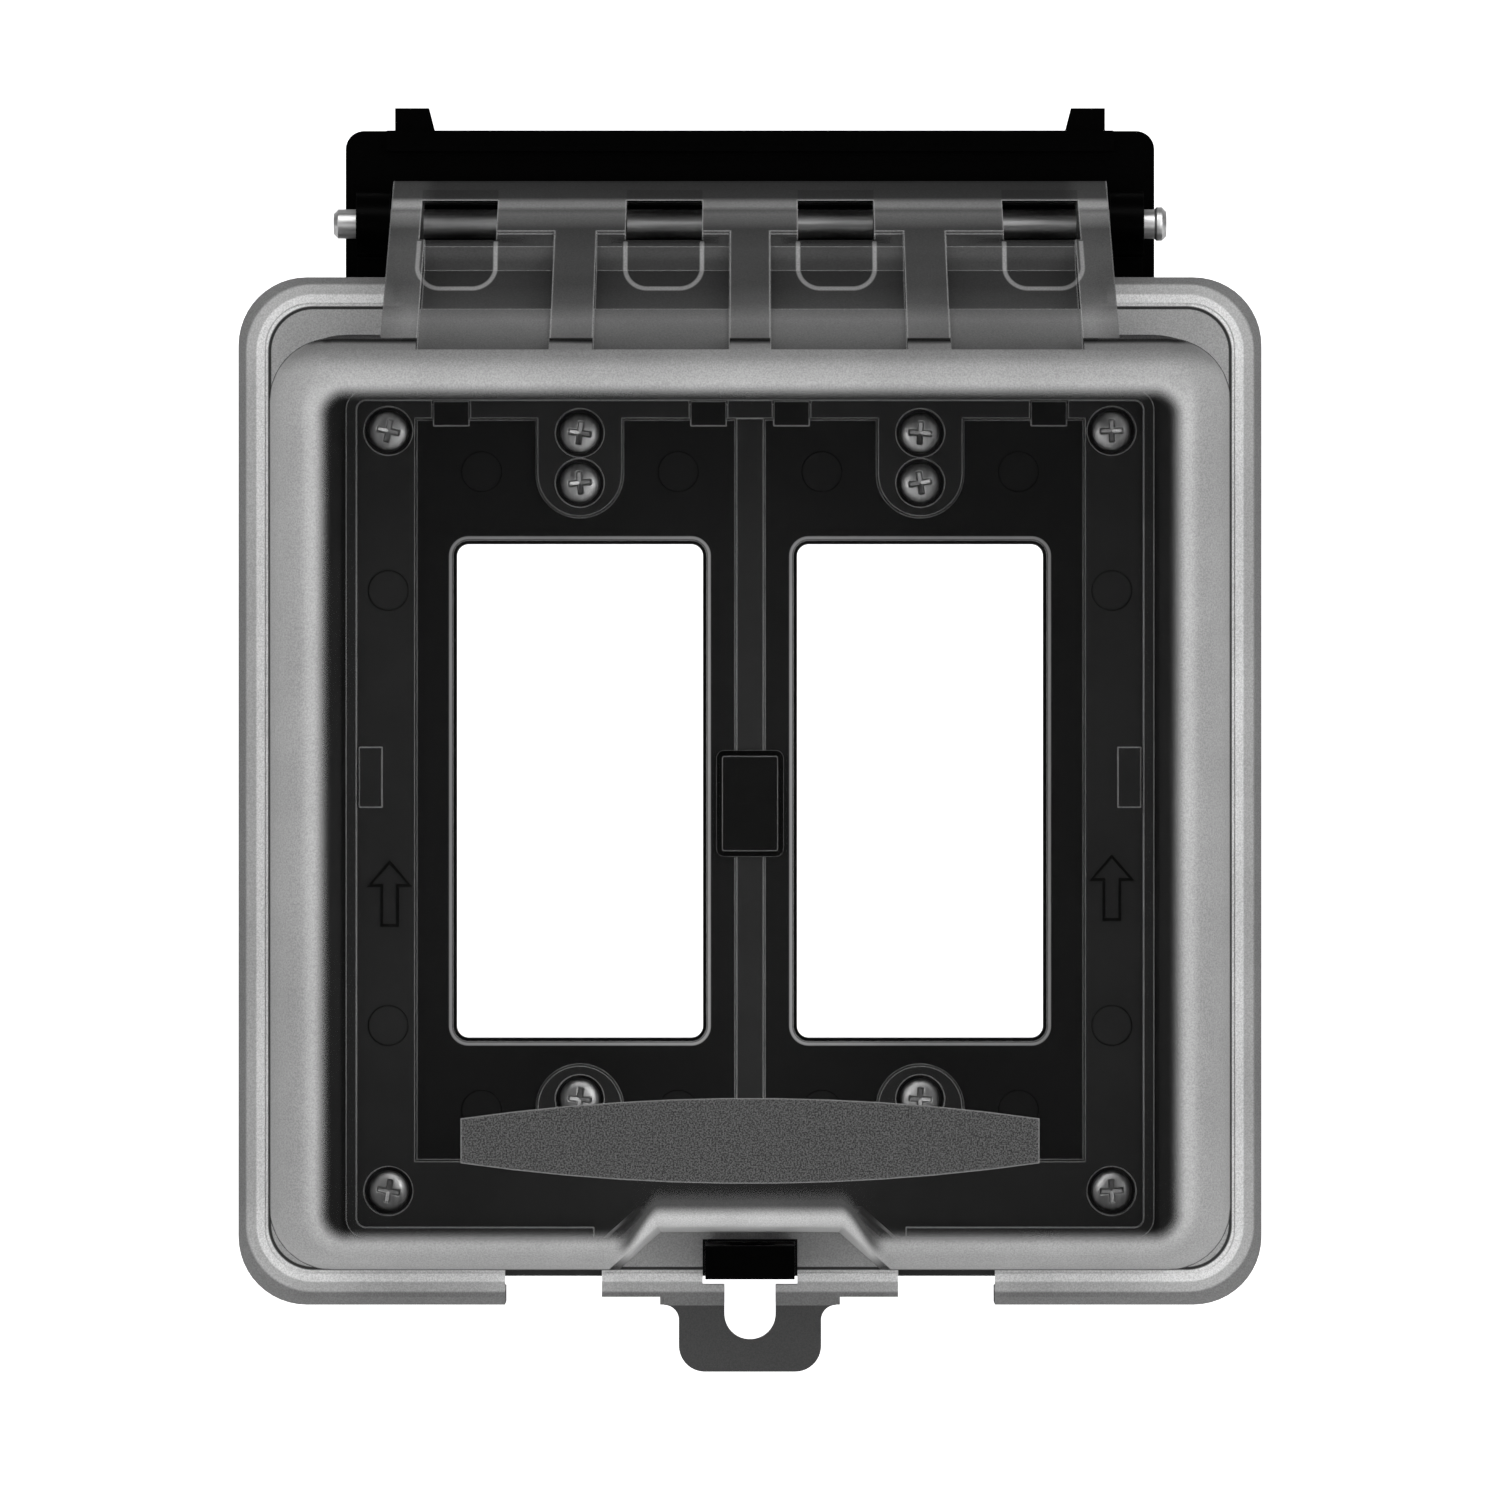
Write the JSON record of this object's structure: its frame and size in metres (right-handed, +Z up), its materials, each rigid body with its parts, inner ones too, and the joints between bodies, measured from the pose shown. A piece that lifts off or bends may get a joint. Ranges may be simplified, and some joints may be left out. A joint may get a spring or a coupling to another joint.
{
  "type": "weatherproof in use outlet cover",
  "caption": "Two-gang weatherproof cover for outlets in use: a smoky see-through bubble hinged at the top of a black base, with device windows, cable exits and a padlock hasp.",
  "frame": {"origin": "middle of the device screws, on the wall plane behind the gasket", "axes": "+Y into the wall, so the cover faces -Y; +Z up, towards the hinge; +X right"},
  "size_m": [0.1382, 0.0909, 0.1711],
  "materials": {
    "black_plastic": "moulded, satin",
    "plate_plastic": "moulded, fine grain",
    "clip_plastic": "moulded, satin",
    "smoky_plastic": "see-through, smoky polycarbonate",
    "foam": "closed-cell foam",
    "pin_steel": "drawn wire",
    "screw_steel": "zinc plated, dull"
  },
  "bodies": {
    "base": {"base": "black_plastic", "rear_gasket": "foam", "left_plate": "plate_plastic", "right_plate": "plate_plastic", "centre_clip": "clip_plastic", "hinge_pin": "pin_steel", "corner_screw_1": "screw_steel", "corner_screw_2": "screw_steel", "corner_screw_3": "screw_steel", "corner_screw_4": "screw_steel", "gang_screw_1": "screw_steel", "gang_screw_2": "screw_steel", "gang_screw_3": "screw_steel", "gang_screw_4": "screw_steel", "gang_screw_5": "screw_steel", "gang_screw_6": "screw_steel", "gang_screw_7": "screw_steel", "gang_screw_8": "screw_steel"},
    "cover": {"cover": "smoky_plastic"}
  },
  "joints": [
    {"name": "cover_hinge", "type": "hinge", "parent": "base", "child": "cover", "pos_m": [0, -0.01, 0.0767], "axis": [-1, 0, 0], "range_deg": [0, 100]}
  ]
}
